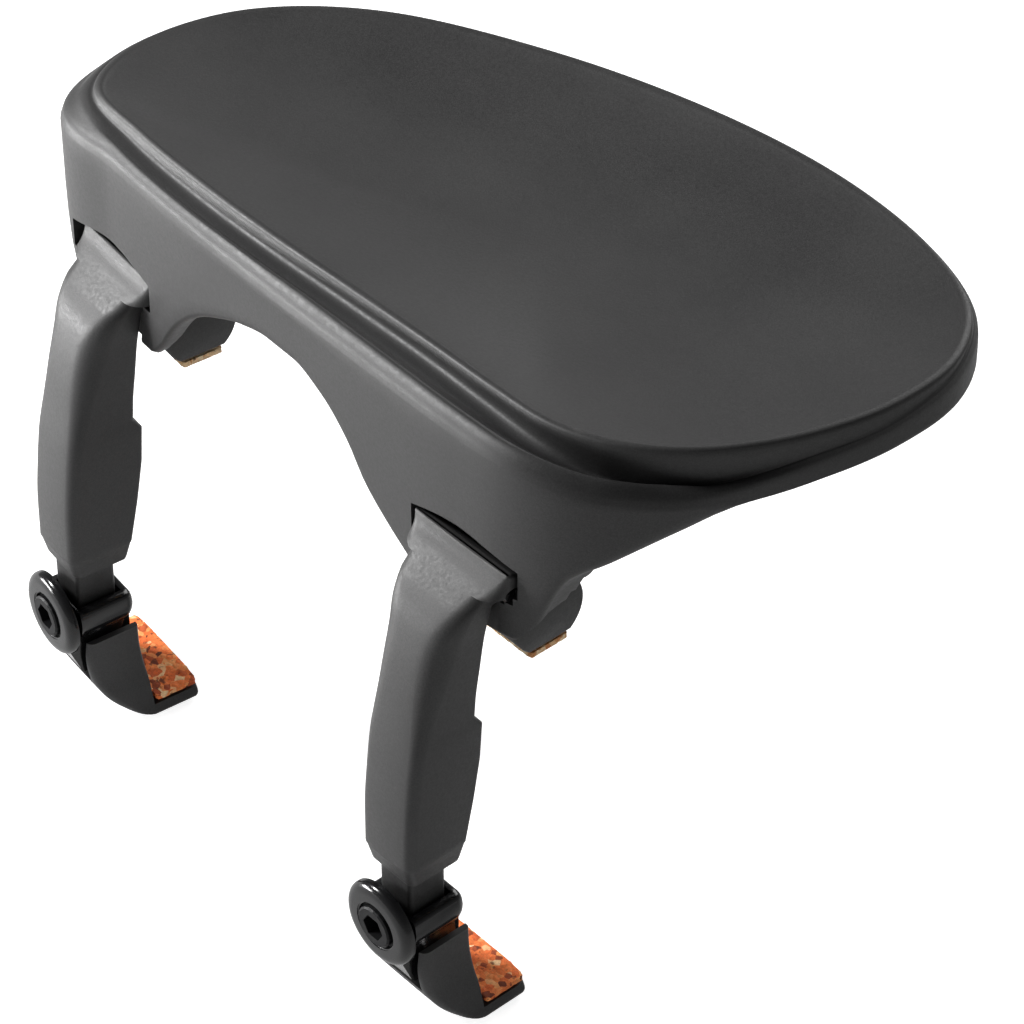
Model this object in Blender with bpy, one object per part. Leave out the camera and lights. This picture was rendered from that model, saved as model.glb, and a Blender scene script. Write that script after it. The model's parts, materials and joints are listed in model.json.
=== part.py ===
"""Centre-mounted violin chin rest: a cup plate, two clamp legs with geared claws, and two rocking feet.

Sizes are in millimetres until they reach a mesh. X runs along the tail edge of the violin, Y from the tail
towards the scroll, Z up. The origin lies on the violin's top, midway between the two legs. Pieces of a leg
are drawn in that leg's own frame, whose Y = 0 is the plate's front face and whose X = 0 is the leg's middle.
"""
import math

import bpy
import bmesh
import numpy as np
from mathutils import Vector

MM = 0.001
GAP = 0.3                     # running clearance between neighbours

# Whole object
LEG_X = 28.0                  # half the spacing of the legs
LEG_YAW = 3.4                 # degrees that each leg turns to follow the violin's curved end
SIDES = {"left": -1, "right": 1}

# Chin plate
DISH_CENTRE = (7.0, 27.0)     # where the sections of the plate meet, in plan
DISH_DEPTH = 4.4
LIP_Z = 27.2                  # height of the dish's lip at the legs' midpoint
LIP_RISE = 0.010              # rise of the lip for each millimetre towards +X
RIM_STEPS = 3                 # samples between two rows of RIM
LOBE_Z = 3.8                  # underside of the lobes that carry the legs and feet
LOBE_BACK = 9.2               # the lobes end this far behind the front face
LOBE_FADE = 3.0               # and blend into the plate over this distance
LOBE_TAPER = (5.0, 5.6)       # beyond a foot's ends they are shorter: by this for each millimetre, and at most
CORNER = (35.0, 2.0)          # from this x the front wall turns back, by this much for each millimetre
ARCH_TOP = 18.4               # crown of the arch over the tailpiece

# Leg head and its slot
FLANGE = (6.6, 0.9, 3.3, 9.8, 12.4)         # half width, front, back, bottom, top
CHANNEL = (5.5, 1.3)                        # half width and depth of the channel under the slot
POCKET = (7.0, 3.6, 8.2)                    # half width, depth and floor of the pocket for the leg's head
LEG_PIN = (1.6, 9.6)                        # y, z of the pin that the leg rocks on
LEG_PIN_R = 0.8

# Drive
SPINDLE_Y = -5.6
SPINDLE_R = 1.1
SPINDLE_Z = (-37.6, -13.6)                  # bottom and top
THREAD_PITCH = 1.0
NUT_Z = (-17.4, -14.6)
NECK = (2.3, -7.9, -3.3)                    # half width, front, back
NECK_Z = -30.8
DRUM_Z = -30.6
DRUM_R = 4.7
DRUM_Y = (-10.5, -9.3)
COLLAR_Z = (-32.0, -28.9)
SPINDLE_GEAR_Z = (-35.9, -34.5)
BOX_BOTTOM = -37.2

# Claw
CLAW_PIN = (-4.3, -39.6)
CLAW_PIN_R = 0.75
TOE_Z = (-44.6, -43.2)
TOE_CORK = 1.1

# Foot
FOOT_AXIS = (6.4, 4.5)
FOOT_R = 4.2
FOOT_HALF = 6.5
FOOT_FLAT_Z = 1.2
STUD_R = 0.9


# ---------------------------------------------------------------- materials
def material(name, color, roughness, metallic=0.0):
    mat = bpy.data.materials.get(name) or bpy.data.materials.new(name)
    mat.use_nodes = True
    shader = mat.node_tree.nodes["Principled BSDF"]
    shader.inputs["Base Color"].default_value = (*color, 1.0)
    shader.inputs["Roughness"].default_value = roughness
    shader.inputs["Metallic"].default_value = metallic
    mat.diffuse_color = (*color, 1.0)
    return mat


def composite():
    return material("matte_composite", (0.030, 0.031, 0.033), 0.55)


def gloss():
    return material("gloss_acetal", (0.012, 0.012, 0.014), 0.18)


def cork():
    return material("cork", (0.62, 0.27, 0.09), 0.85)


def steel():
    return material("steel", (0.55, 0.55, 0.56), 0.3, 1.0)


# ---------------------------------------------------------------- mesh helpers
def add_mesh(name, verts, faces, mat, parent=None, pivot=(0, 0, 0), sharp=40):
    """One object from points in the parent's frame, with its origin at pivot."""
    mesh = bpy.data.meshes.new(name)
    origin = Vector(pivot)
    mesh.from_pydata([(Vector(v) - origin) * MM for v in verts], [], faces)
    work = bmesh.new()
    work.from_mesh(mesh)
    bmesh.ops.recalc_face_normals(work, faces=work.faces)
    work.to_mesh(mesh)
    work.free()
    mesh.shade_smooth()
    mesh.set_sharp_from_angle(angle=math.radians(sharp))
    if mat:
        mesh.materials.append(mat)
    obj = bpy.data.objects.new(name, mesh)
    bpy.context.collection.objects.link(obj)
    obj.parent = parent
    obj.location = origin * MM
    return obj


def loft(name, rings, mat, parent=None, pivot=(0, 0, 0), sharp=40):
    """A closed body through rings with equal numbers of points, capped at both ends."""
    count = len(rings[0])
    verts = [p for ring in rings for p in ring]
    faces = [tuple(range(count))]
    for i in range(len(rings) - 1):
        low, high = i * count, (i + 1) * count
        for j in range(count):
            k = (j + 1) % count
            faces.append((low + j, low + k, high + k, high + j))
    faces.append(tuple(range((len(rings) - 1) * count, len(rings) * count)))
    return add_mesh(name, verts, faces, mat, parent, pivot, sharp)


def box(name, x, y, z, mat=None, parent=None, pivot=(0, 0, 0)):
    rings = [[(x[0], y[0], h), (x[1], y[0], h), (x[1], y[1], h), (x[0], y[1], h)] for h in z]
    return loft(name, rings, mat, parent, pivot, 30)


def turned(name, axis, centre, profile, mat=None, sides=20, parent=None, pivot=(0, 0, 0)):
    """A solid of rings along an axis: profile is (distance along the axis, radius)."""
    rings = []
    for along, radius in profile:
        ring = []
        for i in range(sides):
            angle = 2 * math.pi * i / sides
            u, v = radius * math.cos(angle), radius * math.sin(angle)
            if axis == "X":
                ring.append((along, centre[0] + u, centre[1] + v))
            elif axis == "Y":
                ring.append((centre[0] + u, along, centre[1] + v))
            else:
                ring.append((centre[0] + u, centre[1] + v, along))
        rings.append(ring)
    return loft(name, rings, mat, parent, pivot)


def extruded(name, outline, axis, span, mat=None, parent=None, pivot=(0, 0, 0), sharp=35):
    """An outline of (a, b) points pushed along an axis: (y, z) along X, (x, z) along Y, (x, y) along Z."""
    place = {"X": lambda a, b, h: (h, a, b), "Y": lambda a, b, h: (a, h, b), "Z": lambda a, b, h: (a, b, h)}
    rings = [[place[axis](a, b, h) for a, b in outline] for h in span]
    return loft(name, rings, mat, parent, pivot, sharp)


def rounded(half, front, back, front_r, back_r, z, arc=3):
    """A ring at height z: a rectangle with rounded corners, wound anticlockwise from its front left."""
    corners = [(-half + front_r, front + front_r, front_r, 180), (half - front_r, front + front_r, front_r, 270),
               (half - back_r, back - back_r, back_r, 0), (-half + back_r, back - back_r, back_r, 90)]
    ring = []
    for cx, cy, radius, start in corners:
        for i in range(arc + 1):
            angle = math.radians(start + 90 * i / arc)
            ring.append((cx + radius * math.cos(angle), cy + radius * math.sin(angle), z))
    return ring


def as_guide(obj):
    obj.hide_render = True
    obj.display_type = "WIRE"
    return obj


def boolean(obj, tool, operation="DIFFERENCE"):
    as_guide(tool)
    mod = obj.modifiers.new(operation.title(), "BOOLEAN")
    mod.operation = operation
    mod.solver = "EXACT"
    mod.object = tool


def empty(name, location, yaw):
    frame = bpy.data.objects.new(name, None)
    bpy.context.collection.objects.link(frame)
    frame.location = Vector(location) * MM
    frame.rotation_euler = (0, 0, math.radians(yaw))
    return frame


# ---------------------------------------------------------------- chin plate
# Rows round the rim, anticlockwise in plan from the front left: the lip's x and y, then how far out and how
# far down from the lip the groove lies, and the same for the shoulder of the wall below it.
RIM = np.array([
    (-36.0, 5.0, 1.0, 1.0, 3.8, 2.1),
    (-27.0, 3.7, 1.6, 1.5, 3.5, 1.8),
    (-16.0, 3.6, 2.0, 1.7, 3.8, 1.7),
    (-5.0, 4.1, 2.1, 1.8, 4.2, 1.7),
    (6.0, 5.0, 2.2, 1.9, 4.9, 1.5),
    (17.0, 5.8, 2.2, 2.0, 5.4, 1.4),
    (26.0, 6.3, 2.0, 2.3, 5.5, 1.4),
    (33.0, 7.0, 1.4, 2.9, 5.2, 1.7),
    (38.4, 9.2, 0.5, 4.3, 4.2, 2.8),
    (43.0, 12.9, 0.0, 4.9, 2.4, 4.0),
    (46.4, 17.6, 0.0, 4.2, 1.3, 4.2),
    (49.3, 24.6, 0.2, 2.8, 0.8, 3.6),
    (50.7, 33.0, 0.4, 2.2, 0.7, 2.9),
    (49.4, 41.8, 0.4, 1.2, 0.8, 2.3),
    (44.0, 48.2, 0.25, 0.45, 0.9, 1.5),
    (33.0, 51.6, 0.2, 0.35, 0.9, 1.3),
    (19.0, 51.9, 0.2, 0.35, 0.9, 1.3),
    (3.0, 48.9, 0.2, 0.35, 0.9, 1.3),
    (-13.0, 43.2, 0.2, 0.35, 0.9, 1.3),
    (-28.0, 35.0, 0.2, 0.35, 0.9, 1.3),
    (-37.0, 24.6, 0.2, 0.35, 0.9, 1.3),
    (-39.3, 13.2, 0.35, 0.40, 1.5, 1.4),
])
DISH_RINGS = (0.3, 0.55, 0.76, 0.9)   # shares of the way from the dish's middle to its lip
DISH_EDGE = (1.5, 0.4)                # and the last two rings, this far before the lip
UNDER_RINGS = (0.95, 0.89, 0.83, 0.77, 0.71, 0.65, 0.59, 0.53, 0.45, 0.3, 0.0)

# Underside of the front wall from left to right: x and height.
FRONT_EDGE = np.array([
    (-40.0, 19.0), (-37.4, 14.6), (-35.6, 8.4), (-33.0, 4.6), (-31.0, LOBE_Z), (-21.6, LOBE_Z), (-19.6, 5.6),
    (-18.4, 7.6), (-16.8, 9.9), (-14.8, 12.1), (-12.0, 14.3), (-9.6, 15.6), (-5.5, 17.4), (-1.0, ARCH_TOP),
    (3.0, ARCH_TOP), (7.6, 16.7), (11.4, 13.5), (13.8, 10.2), (17.3, 7.2), (20.2, 5.2), (22.2, LOBE_Z),
    (34.0, LOBE_Z), (35.8, 4.8), (37.0, 8.6), (38.6, 12.8), (41.6, 15.8), (45.0, 19.2), (48.0, 21.9), (53.0, 23.0),
])


def closed_spline(rows, steps):
    """Catmull-Rom through rows of numbers, closed, with the same number of samples in each stretch."""
    out = []
    count = len(rows)
    for i in range(count):
        a, b, c, d = (rows[(i + k) % count] for k in (-1, 0, 1, 2))
        for j in range(steps):
            t = j / steps
            out.append(0.5 * (2 * b + (c - a) * t + (2 * a - 5 * b + 4 * c - d) * t * t
                              + (3 * b - a - 3 * c + d) * t ** 3))
    return np.array(out)


def smoothstep(t):
    t = min(max(t, 0.0), 1.0)
    return t * t * (3 - 2 * t)


def lip_height(x):
    return LIP_Z + LIP_RISE * x


def dish_height(x, share):
    return lip_height(x) - 0.1 - DISH_DEPTH * (1 - share ** 2.4)


def under_height(x, y, share):
    """Height of the plate's underside: a shallow bowl, with the two lobes let down along the front."""
    bowl = 18.6 + 3.4 * share ** 2 + 0.6 * LIP_RISE * x
    front = float(np.interp(x, FRONT_EDGE[:, 0], FRONT_EDGE[:, 1]))
    beyond = max(0.0, abs(abs(x) - LEG_X) - FOOT_HALF)
    reach = LOBE_BACK - min(LOBE_TAPER[0] * beyond, LOBE_TAPER[1]) + CORNER[1] * max(0.0, x - CORNER[0])
    back = smoothstep((y - reach + LOBE_FADE / 2) / LOBE_FADE)
    return min(front, bowl) * (1 - back) + bowl * back


def plate_rings(steps):
    """Rings of the plate from the middle of the dish, over the rim, to the middle of the underside."""
    rim = closed_spline(RIM, steps)
    lip = rim[:, :2]
    tangent = np.roll(lip, -1, axis=0) - np.roll(lip, 1, axis=0)
    normal = np.stack([tangent[:, 1], -tangent[:, 0]], axis=1)
    normal /= np.linalg.norm(normal, axis=1)[:, None]
    centre = np.array(DISH_CENTRE)
    reach = np.linalg.norm(lip - centre, axis=1)

    def dish(share):
        plan = centre + (lip - centre) * np.reshape(share, (-1, 1))
        return [(x, y, dish_height(x, s)) for (x, y), s in zip(plan, np.broadcast_to(share, len(lip)))]

    def around(out, drop):
        plan = lip + normal * np.reshape(out, (-1, 1))
        return [(x, y, lip_height(x) - d) for (x, y), d in zip(plan, np.broadcast_to(drop, len(lip)))]

    groove_out, groove_drop, wall_out, wall_drop = rim[:, 2], rim[:, 3], rim[:, 4], rim[:, 5]
    edge_out = np.minimum(0.25, 0.4 * groove_out + 0.05)
    edge_drop = np.minimum(0.46, 0.6 * groove_drop)
    wide = np.clip((wall_out - groove_out - 0.8) / 1.2, 0.0, 1.0)
    fall = wall_drop - groove_drop
    crest = np.maximum(wall_out - 1.5, groove_out + 0.4 * (wall_out - groove_out))
    crest_drop = (1 - wide) * (groove_drop + 0.3 * fall) + wide * (wall_drop - 0.37)
    shoulder = crest + 0.72 * (wall_out - crest)
    shoulder_drop = (1 - wide) * (groove_drop + 0.8 * fall) + wide * (wall_drop + 0.42)
    rings = [dish(share) for share in DISH_RINGS]
    rings += [dish(1 - before / reach) for before in DISH_EDGE]
    rings.append(around(edge_out, edge_drop))
    rings.append(around(edge_out + 0.26 * (groove_out - edge_out), edge_drop + 0.8 * (groove_drop - edge_drop)))
    rings.append(around(groove_out, groove_drop))
    rings.append(around(crest, crest_drop))
    rings.append(around(shoulder, shoulder_drop))
    rings.append(around(wall_out, wall_drop + 1.5))
    wall = lip + normal * wall_out[:, None]
    low = [under_height(x, y, 1.0) for x, y in wall]
    top = [lip_height(x) - d - 1.5 for (x, y), d in zip(wall, wall_drop)]
    edge = [min(z + 0.9, t - 0.3) for z, t in zip(low, top)]
    rings.append([(x, y, (t + e) / 2) for (x, y), t, e in zip(wall, top, edge)])
    rings.append([(x, y, e) for (x, y), e in zip(wall, edge)])
    inset = lip + normal * (wall_out - 0.9)[:, None]
    rings.append([(x, y, min(under_height(x, y, 0.98), e - 0.2)) for (x, y), e in zip(inset, edge)])
    for share in UNDER_RINGS[:-1]:
        plan = centre + (inset - centre) * share
        rings.append([(x, y, under_height(x, y, share)) for x, y in plan])
    return rings


def chin_plate():
    rings = plate_rings(RIM_STEPS)
    count = len(rings[0])
    cx, cy = DISH_CENTRE
    verts = [p for ring in rings for p in ring]
    top = len(verts)
    verts.append((cx, cy, dish_height(cx, 0.0)))
    verts.append((cx, cy, under_height(cx, cy, 0.0)))
    last = (len(rings) - 1) * count
    faces = []
    for j in range(count):
        k = (j + 1) % count
        faces.append((top, j, k))
        faces.append((top + 1, last + k, last + j))
        for i in range(len(rings) - 1):
            low, high = i * count, (i + 1) * count
            faces.append((low + j, high + j, high + k, low + k))
    return add_mesh("chin_plate", verts, faces, composite(), sharp=50)


def slot_outline():
    """Front view of the pocket for a leg's head: a neck, shoulders, and a lens-shaped gap over the flange."""
    shoulder, spring, crown = FLANGE[3] - 0.4, FLANGE[4] + 0.35, FLANGE[4] + 1.8
    wide, _, floor = POCKET
    neck = CHANNEL[0] + 0.1
    outline = [(-wide, shoulder), (-neck, shoulder), (-neck, floor), (neck, floor), (neck, shoulder),
               (wide, shoulder)]
    for i in range(9):
        t = i / 8
        outline.append((wide * (1 - 2 * t), spring + (crown - spring) * math.sin(math.pi * t)))
    return outline


def cut_plate_for_leg(plate, side, leg):
    boolean(plate, extruded(f"{side}_pocket_tool", slot_outline(), "Y", (-6.0, POCKET[1]), parent=leg))
    half, depth = CHANNEL
    boolean(plate, box(f"{side}_channel_tool", (-half, half), (-6.2, depth), (0.5, POCKET[2] + 0.1), parent=leg))
    pin_r = LEG_PIN_R + GAP
    boolean(plate, turned(f"{side}_pin_tool", "X", LEG_PIN, [(-6.5, pin_r), (6.5, pin_r)], parent=leg))
    seat = FOOT_R + 0.35
    boolean(plate, turned(f"{side}_seat_tool", "X", FOOT_AXIS, [(-9.5, seat), (9.5, seat)], sides=32, parent=leg))
    stud = STUD_R + GAP
    boolean(plate, turned(f"{side}_stud_tool", "Z", (0, FOOT_AXIS[0]), [(2.0, stud), (13.4, stud)], sides=16,
                          parent=leg))


# ---------------------------------------------------------------- leg
# Rows down the leg below its head: height, half width, front, and radius of the front corners.
LEG_ROWS = [(9.9, 5.1, -1.0, 1.4), (8.6, 5.0, -2.85, 1.4), (8.2, 4.95, -3.4, 1.6), (6.6, 4.7, -4.5, 2.2),
            (3.9, 4.3, -5.5, 2.4), (0.0, 4.0, -6.5, 2.1), (-3.6, 3.8, -7.2, 1.6), (-6.2, 3.75, -7.7, 1.3),
            (-7.6, 3.75, -7.95, 1.2), (-12.0, 3.7, -8.5, 1.1), (-17.0, 3.65, -8.9, 1.0), (-22.0, 3.6, -9.0, 1.0),
            (-24.4, 3.2, -8.4, 0.9)]
LEG_BACK = [(9.9, 3.0), (8.6, 3.0), (8.2, 0.7), (3.9, 0.3), (0.0, 0.0), (-3.6, -0.35), (-6.2, -0.5), (-7.6, 0.45),
            (-12.0, 0.2), (-17.0, -0.6), (-22.0, -1.6), (-24.4, -2.2)]
COVER_Z = (-21.2, -8.4)
COVER_THICK = 1.4


def back_of_leg(z):
    heights, values = zip(*reversed(LEG_BACK))
    return float(np.interp(z, heights, values))


def leg_shell(side, leg):
    pivot = (0, *LEG_PIN)
    name = f"{side}_leg_shell"
    rings = [rounded(half, front, back_of_leg(z), radius, 0.45, z) for z, half, front, radius in LEG_ROWS]
    for z in (-25.1, NECK_Z):
        rings.append(rounded(NECK[0], NECK[1], NECK[2], 0.5, 0.5, z))
    rings.insert(0, rounded(5.1, FLANGE[1], FLANGE[2] - 0.3, 0.45, 0.45, FLANGE[4] - 0.4))
    shell = loft(name, rings, composite(), leg, pivot, 50)
    half, front, back, low, high = FLANGE
    rows = ((low, -2.0, 1.8), ((low + high) / 2, -0.55, 1.4), (high, 0.0, 0.5))
    flange = loft(f"{side}_flange_tool", [rounded(half, front + out, back, radius, 0.4, z) for z, out, radius in rows],
                  None, leg)
    boolean(shell, flange, "UNION")
    bore = SPINDLE_R + GAP
    boolean(shell, turned(f"{side}_bore_tool", "Z", (0, SPINDLE_Y), [(-40, bore), (SPINDLE_Z[1] + 4.0, bore)],
                          sides=16, parent=leg))
    pocket_z = (NUT_Z[0] - GAP, NUT_Z[1] + GAP)
    boolean(shell, box(f"{side}_nut_pocket_tool", (-2.1, 2.1), (SPINDLE_Y - 2.0, 2.0), pocket_z, parent=leg))
    recess = []
    for z in (COVER_Z[0] - GAP, -17.0, -12.0, COVER_Z[1] + GAP):
        floor = back_of_leg(z) - COVER_THICK - GAP
        recess.append([(-2.9, floor, z), (2.9, floor, z), (2.9, 4.0, z), (-2.9, 4.0, z)])
    boolean(shell, loft(f"{side}_cover_tool", recess, None, leg))
    hole = LEG_PIN_R + GAP
    boolean(shell, turned(f"{side}_head_hole_tool", "X", LEG_PIN, [(-9, hole), (9, hole)], parent=leg))
    return shell


def leg_inner_cover(side, leg):
    rings = []
    for z in (COVER_Z[0], -17.0, -12.0, COVER_Z[1]):
        back = back_of_leg(z)
        rings.append([(-2.6, back - COVER_THICK, z), (2.6, back - COVER_THICK, z), (2.6, back - 0.25, z),
                      (2.3, back, z), (-2.3, back, z), (-2.6, back - 0.25, z)])
    loft(f"{side}_leg_inner_cover", rings, composite(), leg, (0, *LEG_PIN))


def leg_pin(side, leg):
    r = LEG_PIN_R
    turned(f"{side}_leg_pin", "X", LEG_PIN, [(-6.2, r - 0.2), (-6.0, r), (6.0, r), (6.2, r - 0.2)], gloss(), 16,
           leg, (0, *LEG_PIN))


def spindle_nut(side, leg):
    outline = [(-1.8, SPINDLE_Y - 1.7), (1.8, SPINDLE_Y - 1.7), (1.8, SPINDLE_Y + 1.7), (-1.8, SPINDLE_Y + 1.7)]
    nut = extruded(f"{side}_spindle_nut", outline, "Z", NUT_Z, steel(), leg, (0, *LEG_PIN))
    bore = SPINDLE_R + GAP
    boolean(nut, turned(f"{side}_nut_tool", "Z", (0, SPINDLE_Y), [(NUT_Z[0] - 2, bore), (NUT_Z[1] + 2, bore)],
                        sides=16, parent=leg))


# ---------------------------------------------------------------- drive
def tension_spindle(side, leg):
    low, high = SPINDLE_Z
    profile = [(low, SPINDLE_R - 0.2), (low + 0.2, SPINDLE_R)]
    crest, root = SPINDLE_R, SPINDLE_R - 0.25
    start = -24.0
    profile.append((start, crest))
    for i in range(int((high - 0.4 - start) / THREAD_PITCH)):
        z = start + i * THREAD_PITCH
        profile += [(z + THREAD_PITCH * 0.45, root), (z + THREAD_PITCH * 0.95, crest)]
    profile.append((high, SPINDLE_R - 0.4))
    turned(f"{side}_tension_spindle", "Z", (0, SPINDLE_Y), profile, steel(), 10, leg, (0, SPINDLE_Y, low))


def toothed_ring(teeth, tip, root):
    """Points of a gear's outline with flat-topped teeth."""
    points = []
    for i in range(teeth):
        for share, radius in ((0.0, root), (0.2, tip), (0.5, tip), (0.7, root)):
            angle = 2 * math.pi * (i + share) / teeth
            points.append((radius * math.cos(angle), radius * math.sin(angle)))
    return points


def spindle_gear(side, leg):
    outline = [(a, SPINDLE_Y + b) for a, b in toothed_ring(10, 2.35, 1.85)]
    gear = extruded(f"{side}_spindle_gear", outline, "Z", SPINDLE_GEAR_Z, steel(), leg,
                    (0, SPINDLE_Y, SPINDLE_GEAR_Z[0]))
    bore = SPINDLE_R + GAP
    boolean(gear, turned(f"{side}_gear_tool", "Z", (0, SPINDLE_Y), [(-38, bore), (-34, bore)], sides=12, parent=leg))


def drive_gear(side, leg):
    centre = (0, DRUM_Z)
    pivot = (0, DRUM_Y[0], DRUM_Z)
    outline = [(a, DRUM_Z + b) for a, b in toothed_ring(18, 3.75, 3.25)]
    gear = extruded(f"{side}_drive_gear", outline, "Y", (-10.0, -9.0), gloss(), leg, pivot)
    boolean(gear, turned(f"{side}_hub_tool", "Y", centre, [(-10.8, 2.1), (-10.65, 2.3), (-9.5, 2.3)], None, 20, leg),
            "UNION")
    boolean(gear, turned(f"{side}_hex_tool", "Y", centre, [(-12.0, 1.45), (-9.3, 1.45)], None, 6, leg))


def gear_housing(side, leg):
    """Collar round the neck, gear box below it and the round boss of the drive gear in front."""
    pivot = (0, SPINDLE_Y, COLLAR_Z[1])
    low, high = COLLAR_Z
    rings = []
    for z, grow in ((low - 0.6, -0.1), (low + 0.3, 0.35), ((low + high) / 2, 0.55), (high - 0.3, 0.35), (high, 0.0)):
        rings.append(rounded(3.3 + grow, -9.1 - grow * 0.4, -2.5 + grow, 1.0, 1.0, z))
    housing = loft(f"{side}_gear_housing", rings, gloss(), leg, pivot)
    side_view = [(-10.2, low), (-10.2, -33.2), (-8.4, BOX_BOTTOM), (-2.6, BOX_BOTTOM), (-2.6, low)]
    boolean(housing, extruded(f"{side}_box_tool", side_view, "X", (-3.3, 3.3), parent=leg), "UNION")
    boolean(housing, box(f"{side}_block_tool", (-3.3, 3.3), (-6.3, -2.6), (-41.0, BOX_BOTTOM + 0.5), parent=leg),
            "UNION")
    front, back = DRUM_Y
    boss = [(front, DRUM_R - 0.7), (front + 0.25, DRUM_R - 0.2), (front + 0.7, DRUM_R), (back, DRUM_R)]
    boolean(housing, turned(f"{side}_boss_tool", "Y", (0, DRUM_Z), boss, None, 32, leg), "UNION")
    hollow = box(f"{side}_neck_way_tool", (-2.65, 2.65), (-8.25, -3.0), (BOX_BOTTOM + 1.0, high + 1), parent=leg)
    boolean(housing, hollow)
    gear_room = [(-10.25, 4.05), (-8.5, 4.05)]
    boolean(housing, turned(f"{side}_gear_room_tool", "Y", (0, DRUM_Z), gear_room, None, 24, leg))
    boolean(housing, turned(f"{side}_hub_way_tool", "Y", (0, DRUM_Z), [(-12, 2.6), (-10.0, 2.6)], None, 20, leg))
    bore = SPINDLE_R + GAP
    journal = [(BOX_BOTTOM - 1, bore), (BOX_BOTTOM + 2, bore)]
    boolean(housing, turned(f"{side}_journal_tool", "Z", (0, SPINDLE_Y), journal, sides=12, parent=leg))
    hole = CLAW_PIN_R + GAP
    boolean(housing, turned(f"{side}_block_hole_tool", "X", CLAW_PIN, [(-5, hole), (5, hole)], sides=12, parent=leg))
    return housing


# ---------------------------------------------------------------- claw
# Rows down the claw: height, half width, front, back.
CLAW_ROWS = [(-32.9, 4.5, -8.2, -2.2), (-35.0, 4.6, -8.4, -2.2), (-38.0, 4.9, -8.0, -2.0), (-40.5, 5.5, -6.9, -1.6),
             (-43.0, 6.2, -4.7, 3.4), (TOE_Z[0] + 0.5, 6.5, -3.3, 3.5), (TOE_Z[0], 6.2, -2.4, 3.2)]


def claw(side, leg):
    pivot = (0, *CLAW_PIN)
    rings = [rounded(half, front, back, 0.8, 0.4, z, 2) for z, half, front, back in CLAW_ROWS]
    body = loft(f"{side}_claw", rings, composite(), leg, pivot)
    boolean(body, box(f"{side}_mouth_tool", (-7, 7), (-1.9, 6.0), (TOE_Z[1], -38.5), parent=leg))
    boolean(body, box(f"{side}_fork_tool", (-3.8, 3.8), (-12, 6), (-38.6, -30), parent=leg))
    boolean(body, box(f"{side}_room_tool", (-3.8, 3.8), (-6.9, 6), (-41.6, -38), parent=leg))
    hole = CLAW_PIN_R + GAP
    boolean(body, turned(f"{side}_cheek_hole_tool", "X", CLAW_PIN, [(-4.85, hole), (4.85, hole)], sides=12, parent=leg))
    return body


def claw_cork(side, leg):
    """Cork on the toe, lower over its last two millimetres at each end."""
    low, high = TOE_Z[1] + GAP, TOE_Z[1] + GAP + TOE_CORK
    outline = [(-6.3, low), (6.3, low), (6.3, high - 0.45), (4.4, high - 0.2), (4.2, high), (-4.2, high),
               (-4.4, high - 0.2), (-6.3, high - 0.45)]
    extruded(f"{side}_claw_cork", outline, "Y", (-1.6, 3.4), cork(), leg, (0, *CLAW_PIN))


def claw_pin(side, leg):
    r = CLAW_PIN_R
    turned(f"{side}_claw_pin", "X", CLAW_PIN, [(-4.55, r - 0.15), (-4.4, r), (4.4, r), (4.55, r - 0.15)], steel(),
           12, leg, (0, *CLAW_PIN))


# ---------------------------------------------------------------- foot
def rocker_foot(side, leg):
    cy, cz = FOOT_AXIS
    cut = math.asin((cz - FOOT_FLAT_Z) / FOOT_R)
    steps = 18
    outline = []
    for i in range(steps + 1):
        angle = -cut + (math.pi + 2 * cut) * i / steps
        outline.append((cy + FOOT_R * math.cos(angle), cz + FOOT_R * math.sin(angle)))
    foot = extruded(f"{side}_rocker_foot", outline, "X", (-FOOT_HALF, FOOT_HALF), composite(), leg, (0, *FOOT_AXIS))
    boolean(foot, turned(f"{side}_head_room_tool", "Z", (0, cy), [(0.5, 2.0), (3.6, 2.0)], sides=16, parent=leg))
    boolean(foot, box(f"{side}_shank_way_tool", (-1.3, 1.3), (cy - 1.9, cy + 1.9), (3.0, 10), parent=leg))
    return foot


def foot_stud(side, leg):
    cy = FOOT_AXIS[0]
    profile = [(1.7, 1.3), (1.9, 1.6), (2.9, 1.6), (3.1, 1.4), (3.1, STUD_R), (13.0, STUD_R)]
    turned(f"{side}_foot_stud", "Z", (0, cy), profile, steel(), 16, leg, (0, *FOOT_AXIS))


def foot_cork(side, leg):
    cy = FOOT_AXIS[0] + 0.1
    rings = [rounded(6.3, cy - 2.4, cy + 2.4, 0.5, 0.5, z, 2) for z in (0.0, FOOT_FLAT_Z - GAP)]
    loft(f"{side}_foot_cork", rings, cork(), leg, (0, *FOOT_AXIS))


# ---------------------------------------------------------------- assembly
def build():
    for old in list(bpy.data.objects):
        bpy.data.objects.remove(old, do_unlink=True)
    plate = chin_plate()
    for side, sign in SIDES.items():
        leg = empty(f"{side}_leg_frame", (sign * LEG_X, 0, 0), sign * LEG_YAW)
        cut_plate_for_leg(plate, side, leg)
        for piece in (leg_shell, leg_inner_cover, leg_pin, spindle_nut, tension_spindle, spindle_gear, drive_gear,
                      gear_housing, claw, claw_cork, claw_pin, rocker_foot, foot_stud, foot_cork):
            piece(side, leg)


build()
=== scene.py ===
"""Looks of a centre-mounted violin chin rest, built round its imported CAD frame.

Shapes are drawn in millimetres. The plate is drawn in the object's frame: X along the violin's tail edge, Y
towards the scroll, Z up from the violin's top. Every piece of a leg is drawn in that leg's own frame, whose
X = 0 is the leg's middle and whose Y = 0 is the plate's front face.
"""
import json
import math

import bmesh
import bpy
import numpy as np
from mathutils import Matrix, Vector, noise


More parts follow.
